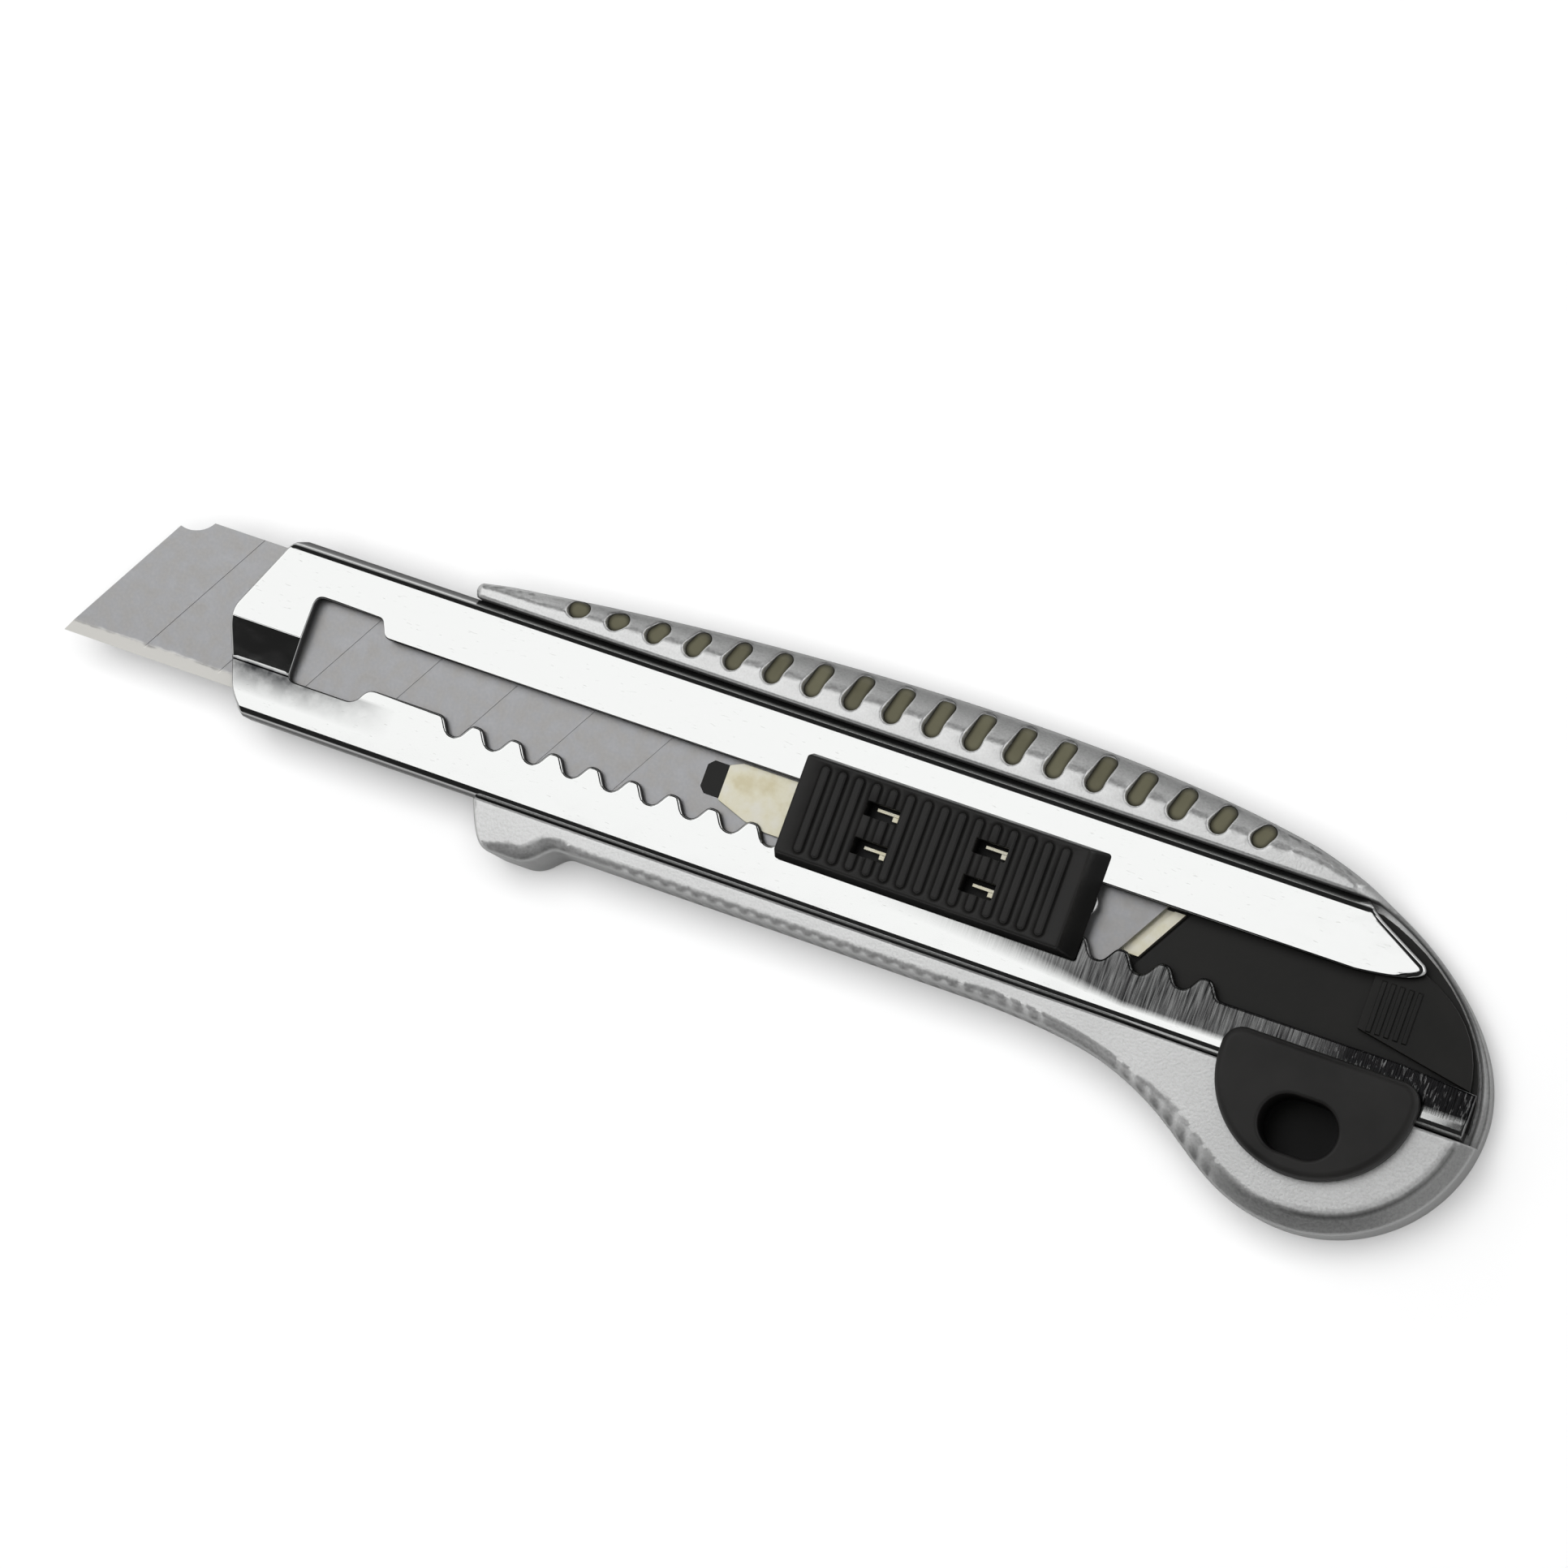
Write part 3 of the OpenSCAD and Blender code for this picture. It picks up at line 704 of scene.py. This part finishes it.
def ramp(tree, value, stops):
    """Colours along a value; stops are (position, colour)."""
    node = tree.nodes.new("ShaderNodeValToRGB")
    elements = node.color_ramp.elements
    while len(elements) < len(stops):
        elements.new(0.5)
    for element, (position, colour) in zip(elements, stops):
        element.position = position
        element.color = (*colour, 1)
    tree.links.new(value, node.inputs["Fac"])
    return node.outputs["Color"]


def remap(tree, value, low, high, to_low, to_high):
    node = tree.nodes.new("ShaderNodeMapRange")
    for key, number in (("From Min", low), ("From Max", high), ("To Min", to_low), ("To Max", to_high)):
        node.inputs[key].default_value = number
    tree.links.new(value, node.inputs["Value"])
    return node.outputs["Result"]


def combine(tree, operation, a, b):
    node = tree.nodes.new("ShaderNodeMath")
    node.operation = operation
    for socket, value in zip(node.inputs, (a, b)):
        if isinstance(value, (int, float)):
            socket.default_value = value
        else:
            tree.links.new(value, socket)
    return node.outputs["Value"]


def mix(tree, share, a, b):
    """Colour a where share is 0, b where it is 1."""
    node = tree.nodes.new("ShaderNodeMix")
    node.data_type = "RGBA"
    for key, value in ((0, share), (6, a), (7, b)):
        if isinstance(value, tuple):
            node.inputs[key].default_value = (*value, 1)
        else:
            tree.links.new(value, node.inputs[key])
    return node.outputs[2]


def multiply(tree, a, b):
    node = tree.nodes.new("ShaderNodeMix")
    node.data_type = "RGBA"
    node.blend_type = "MULTIPLY"
    node.inputs[0].default_value = 1
    tree.links.new(a, node.inputs[6])
    tree.links.new(b, node.inputs[7])
    return node.outputs[2]


def shade_of(tree):
    """The painted shade stored with the mesh, 0 where a mesh has none."""
    node = tree.nodes.new("ShaderNodeAttribute")
    node.attribute_name = "shade"
    return node.outputs["Fac"]


def axes(tree, coords):
    node = tree.nodes.new("ShaderNodeSeparateXYZ")
    tree.links.new(coords, node.inputs["Vector"])
    return node.outputs


def bump(tree, bsdf, height, strength, distance):
    """Fine relief of a height on the shader; the distance is in metres."""
    node = tree.nodes.new("ShaderNodeBump")
    node.inputs["Strength"].default_value = strength
    node.inputs["Distance"].default_value = distance
    tree.links.new(height, node.inputs["Height"])
    tree.links.new(node.outputs["Normal"], bsdf.inputs["Normal"])


def silver_paint():
    """Metallic paint: fine flakes over slow patches, with painted shade from the stored tone."""
    material, tree, bsdf, coords = shader("silver_paint", (0.8, 0.8, 0.8), 0.8, 0.34,
                                         Specular_Tint=(0.4, 0.4, 0.4, 1))
    flakes = noise(tree, coords, 3200, 2)
    patches = noise(tree, coords, 120, 3)
    speck = ramp(tree, flakes, ((0.3, (0.62, 0.625, 0.62)), (0.7, (0.95, 0.955, 0.95))))
    worn = ramp(tree, patches, ((0.35, (0.74, 0.745, 0.74)), (0.7, (0.84, 0.845, 0.84))))
    paint_tone = mix(tree, remap(tree, flakes, 0, 1, 0.3, 0.7), speck, worn)
    # Painted shade from the stored tone, over the shoulders, the walls and the palm's crease.
    painted_shoulder_shade = ramp(tree, shade_of(tree),
                  ((0.0, (1, 1, 1)), (0.3, (0.68,) * 3), (0.62, (0.42,) * 3), (1.0, (0.2,) * 3)))
    tree.links.new(multiply(tree, paint_tone, painted_shoulder_shade), bsdf.inputs["Base Color"])
    tree.links.new(remap(tree, flakes, 0.3, 0.7, 0.28, 0.42), bsdf.inputs["Roughness"])
    bump(tree, bsdf, flakes, 0.25, 0.00008)
    return material


def channel_chrome():
    """Bright plate with a painted dark reflection where it is bent, which is also rougher, brushed across
    at the rear of the toothed rail, and with painted shade on the lower rail by the nose.
    """
    material, tree, bsdf, coords = shader("channel_chrome", (0.86, 0.87, 0.86), 1, 0.08,
                                         Specular_Tint=(0.3, 0.3, 0.3, 1))
    along, across = axes(tree, coords)[:2]
    facing = axes(tree, tree.nodes.new("ShaderNodeTexCoord").outputs["Normal"])[2]
    # Painted dark reflection on the bends, where the surface turns away from up.
    bent = remap(tree, facing, 0.72, 0.6, 0, 1)
    bend_reflection_tone = ramp(tree, facing, ((0.12, (0.2,) * 3), (0.5, (0.22,) * 3), (0.68, (0.32,) * 3)))
    lines = noise(tree, coords, 1, 4, (5200, 260, 300), 0.06)
    tip, cut = BLADE_POINT[:2]
    start = tip + 0.113
    clear = remap(tree, along, start, start + 0.024, cut + 0.0004, cut - 0.0012)
    dense = remap(tree, along, start, start + 0.024, cut + 0.0034, cut - 0.0004)
    fade = combine(tree, "DIVIDE", combine(tree, "SUBTRACT", across, clear),
                   combine(tree, "SUBTRACT", dense, clear))
    rail = combine(tree, "MULTIPLY", remap(tree, fade, 0, 1, 0, 1),
                   remap(tree, across, cut + 0.0085, cut + 0.0080, 0, 1))
    onset = combine(tree, "ADD", remap(tree, along, start - 0.008, start + 0.002, 0, 0.6),
                    remap(tree, along, start + 0.002, start + 0.02, 0, 0.4))
    brushed = combine(tree, "MULTIPLY", rail, onset)
    darkest = combine(tree, "SUBTRACT", remap(tree, along, start + 0.022, start + 0.050, 0, 1),
                      remap(tree, noise(tree, coords, 1, 4, (3600, 900, 900)), 0.56, 0.7, 0, 0.5))
    # Painted shade on the lower rail behind the nose, made a little uneven.
    mottling = noise(tree, coords, 420, 5)
    band = combine(tree, "MULTIPLY", remap(tree, across, cut - 0.0003, cut + 0.0029, 0, 1),
                   remap(tree, across, cut + 0.0038, cut + 0.0034, 0, 1))
    nose = combine(tree, "MULTIPLY", remap(tree, along, tip + 0.044, tip + 0.032, 0, 1), band)
    nose = combine(tree, "MULTIPLY", nose, remap(tree, mottling, 0.35, 0.6, 0.6, 1))
    wear = noise(tree, coords, 260, 5, (1, 2.2, 1), 0.4)
    streak = combine(tree, "MAXIMUM", remap(tree, lines, 0.32, 0.68, 0.72, 1), darkest)
    dim = combine(tree, "MULTIPLY", brushed, streak)
    scratch = remap(tree, noise(tree, coords, 1, 2, (900, 5200, 900), 0.5), 0.68, 0.74, 0, 0.35)
    plate = mix(tree, scratch, (0.90, 0.91, 0.90), (0.5, 0.5, 0.48))
    faces = mix(tree, dim, plate, (0.024, 0.024, 0.025))
    # Mix in the painted shade by the nose.
    faces = mix(tree, nose, faces, (0.05, 0.052, 0.055))
    tree.links.new(mix(tree, bent, faces, bend_reflection_tone), bsdf.inputs["Base Color"])
    rough = combine(tree, "ADD", remap(tree, wear, 0.4, 0.7, 0.05, 0.11),
                    combine(tree, "MULTIPLY", combine(tree, "MAXIMUM", brushed, bent), 0.16))
    tree.links.new(rough, bsdf.inputs["Roughness"])
    bump(tree, bsdf, combine(tree, "MULTIPLY", brushed, lines), 0.5, 0.00004)
    return material


def blade_steel():
    """Hardened steel with faint mottles and fine grain, paler and duller on the ground edge."""
    material, tree, bsdf, coords = shader("blade_steel", (0.36, 0.36, 0.37), 0.9, 0.36)
    across = axes(tree, coords)[1]
    mottling = noise(tree, coords, 620, 6)
    tint = ramp(tree, mottling, ((0.28, (0.48, 0.49, 0.515)), (0.45, (0.465, 0.47, 0.485)),
                              (0.57, (0.48, 0.475, 0.47)), (0.75, (0.475, 0.46, 0.44))))
    fine = noise(tree, coords, 2600, 3)
    grain = ramp(tree, fine, ((0.3, (0.42, 0.42, 0.43)), (0.7, (0.52, 0.515, 0.51))))
    faces = mix(tree, remap(tree, fine, 0, 1, 0.25, 0.6), tint, grain)
    edge = combine(tree, "ADD", across, remap(tree, mottling, 0.3, 0.7, -0.0002, 0.0002))
    ground = remap(tree, edge, BLADE_POINT[1] + 0.0017, BLADE_POINT[1] + 0.0013, 0, 1)
    tree.links.new(mix(tree, ground, faces, (0.60, 0.59, 0.56)), bsdf.inputs["Base Color"])
    tree.links.new(remap(tree, ground, 0, 1, 0.9, 0.25), bsdf.inputs["Metallic"])
    tree.links.new(remap(tree, mottling, 0.3, 0.7, 0.35, 0.39), bsdf.inputs["Roughness"])
    bump(tree, bsdf, fine, 0.12, 0.00003)
    return material


def zinc_plate():
    """Yellowish plate, uneven in tone."""
    material, tree, bsdf, coords = shader("zinc_plate", (0.66, 0.62, 0.43), 0.75, 0.34)
    blotch = noise(tree, coords, 420, 5)
    tint = ramp(tree, blotch, ((0.32, (0.60, 0.55, 0.38)), (0.5, (0.74, 0.71, 0.56)),
                               (0.68, (0.82, 0.80, 0.70))))
    tree.links.new(tint, bsdf.inputs["Base Color"])
    tree.links.new(remap(tree, blotch, 0.3, 0.7, 0.28, 0.42), bsdf.inputs["Roughness"])
    bump(tree, bsdf, noise(tree, coords, 1800, 3), 0.15, 0.00003)
    return material


def bright_steel(name, tone):
    """Drawn steel with fine lines across."""
    material, tree, bsdf, coords = shader(name, (tone, tone, tone), 1, 0.2)
    lines = noise(tree, coords, 1, 3, (3000, 300, 300))
    tint = ramp(tree, lines, ((0.3, (tone * 0.85,) * 3), (0.7, (tone * 1.08,) * 3)))
    tree.links.new(tint, bsdf.inputs["Base Color"])
    tree.links.new(remap(tree, lines, 0.3, 0.7, 0.16, 0.28), bsdf.inputs["Roughness"])
    return material


def moulded(name, low, high, roughness):
    """Moulded plastic or rubber with a fine spark-eroded grain and faint handling marks, and painted
    shade from the stored tone.
    """
    material, tree, bsdf, coords = shader(name, high, 0, roughness, Specular_IOR_Level=0.3)
    fine = noise(tree, coords, 1500, 3)
    marks = noise(tree, coords, 160, 5)
    tone = ramp(tree, marks, ((0.3, low), (0.7, high)))
    # Painted shade, from the tone stored with the mesh.
    painted_shade_tone = ramp(tree, shade_of(tree), ((0.0, (1, 1, 1)), (1.0, (0.2, 0.2, 0.2))))
    tree.links.new(multiply(tree, tone, painted_shade_tone), bsdf.inputs["Base Color"])
    tree.links.new(remap(tree, marks, 0.3, 0.7, roughness - 0.07, roughness + 0.08),
                   bsdf.inputs["Roughness"])
    bump(tree, bsdf, fine, 0.3, 0.00003)
    return material


# ---------------------------------------------------------------- pieces

def paint(piece, material):
    piece.data.materials.clear()
    piece.data.materials.append(material)


def soften(node, width_mm):
    """Joins a CAD node's faces and rounds its sharp edges a little."""
    piece = NODES[node]
    weld = piece.modifiers.new("weld", "WELD")
    weld.merge_threshold = 1e-6
    edge = piece.modifiers.new("edge", "BEVEL")
    edge.width = width_mm * MM
    edge.segments = 2
    edge.limit_method = "ANGLE"
    edge.angle_limit = math.radians(28)
    edge.harden_normals = True
    edge.use_clamp_overlap = True


silver = silver_paint()
chrome = channel_chrome()
steel = blade_steel()
zinc = zinc_plate()
spring_steel = bright_steel("spring_steel", 0.62)
fastener = bright_steel("fastener_steel", 0.5)
black = moulded("black_plastic", (0.009, 0.0088, 0.0085), (0.015, 0.0145, 0.014), 0.42)
tray_black = moulded("tray_plastic", (0.0055, 0.0055, 0.005), (0.010, 0.0097, 0.009), 0.38)
olive = moulded("olive_inlay", (0.085, 0.08, 0.05), (0.12, 0.115, 0.075), 0.6)

# Node, the function that remakes it, and its material
REMADE = (
    ("body_casting", cast_handle, silver), ("end_plug", recessed_plug, black),
    ("grip_inlays", soft_inlays, olive), ("blade_channel", notched_channel, chrome),
    ("slider_knob", ribbed_knob, black),
)
for node, make, material in REMADE:
    piece = make()
    paint(piece, material)
    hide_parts(node)

# Node, its material and the width of its edge rounding in mm
LOOKS = (
    ("channel_rivets", fastener, 0.1), ("blade_catch", tray_black, 0.08), ("plug_screw", fastener, 0.1),
    ("blade_carrier", zinc, 0.06), ("lock_spring", spring_steel, 0.05), ("working_blade", steel, 0),
    ("spare_blade_upper", steel, 0), ("spare_blade_lower", steel, 0), ("magazine_tray", tray_black, 0.12),
    ("magazine_pad", tray_black, 0.1), ("magazine_spring", zinc, 0),
)
for node, material, width in LOOKS:
    paint(NODES[node], material)
    if width:
        soften(node, width)


# ---------------------------------------------------------------- studio

def studio_floor():
    """A wide plain floor of pale paper."""
    bpy.ops.mesh.primitive_plane_add(size=6)
    floor = bpy.context.object
    floor.name = "floor"
    material, tree, bsdf, coords = shader("floor_paper", (0.9, 0.9, 0.9), 0, 0.8)
    fibres = noise(tree, coords, 40, 2)
    tone = ramp(tree, fibres, ((0.3, (0.89, 0.89, 0.89)), (0.7, (0.91, 0.91, 0.91))))
    tree.links.new(tone, bsdf.inputs["Base Color"])
    paint(floor, material)


def softbox(name, centre, aim, size, radiance, glossy=True, diffuse=True):
    """A rectangular lamp of even brightness. It may be left out of reflections or of diffuse light."""
    light = bpy.data.lights.new(name, "AREA")
    light.shape = "RECTANGLE"
    light.size, light.size_y = size
    light.energy = radiance * math.pi * size[0] * size[1]
    lamp = bpy.data.objects.new(name, light)
    lamp.location = centre
    lamp.rotation_euler = (Vector(aim) - Vector(centre)).to_track_quat("-Z", "Y").to_euler()
    lamp.visible_glossy = glossy
    lamp.visible_diffuse = diffuse
    lamp.visible_camera = False
    bpy.context.scene.collection.objects.link(lamp)


def studio_world():
    """A dim room: grey at the horizon and beyond both ends of the knife, dark above its long sides."""
    world = bpy.data.worlds.new("studio")
    world.use_nodes = True
    tree = world.node_tree
    coords = tree.nodes.new("ShaderNodeTexCoord")
    endways, _, height = axes(tree, coords.outputs["Generated"])
    sides = ramp(tree, height, ((0.0, (0.42,) * 3), (0.18, (0.34,) * 3), (0.3, (0.015,) * 3)))
    ends = remap(tree, combine(tree, "ABSOLUTE", endways, 0), 0.42, 0.6, 0, 1)
    tone = mix(tree, ends, sides, (0.42, 0.42, 0.42))
    tree.links.new(tone, tree.nodes["Background"].inputs["Color"])
    bpy.context.scene.world = world


def camera():
    """Looks down on the knife from beyond its rear end, turned so the knife slants. In degrees and m."""
    distance, elevation, bearing, turn = 0.5319, 74.95, -17.72, 20.45
    target = Vector((0.00148, 0.00636, FACE * MM))
    up_angle, side_angle = math.radians(elevation), math.radians(bearing)
    away = Vector((math.cos(up_angle) * math.cos(side_angle),
                   math.cos(up_angle) * math.sin(side_angle), math.sin(up_angle)))
    hint = Vector((-math.sin(math.radians(turn)), math.cos(math.radians(turn)), 0))
    right = (-away).cross(hint).normalized()
    up = away.cross(right)
    lens = bpy.data.cameras.new("camera")
    lens.lens = 105.63
    lens.sensor_width = 36
    lens.clip_start = 0.01
    eye = bpy.data.objects.new("camera", lens)
    turned = Matrix((right, up, away)).transposed()
    eye.matrix_world = Matrix.Translation(target + away * distance) @ turned.to_4x4()
    bpy.context.scene.collection.objects.link(eye)
    bpy.context.scene.camera = eye


studio_floor()
softbox("overhead", (-0.30, 0.22, 0.70), (-0.30, 0.22, 0), (0.64, 0.56), 1.0)
softbox("floor_fill", (0, 0, 1.6), (0, 0, 0), (1.6, 1.6), 3.6, glossy=False)
softbox("edge_card", (0.42, 0.34, 0.30), (0, 0, 0), (0.55, 0.22), 1.0, diffuse=False)
studio_world()
camera()
bpy.context.scene.view_settings.view_transform = "Standard"
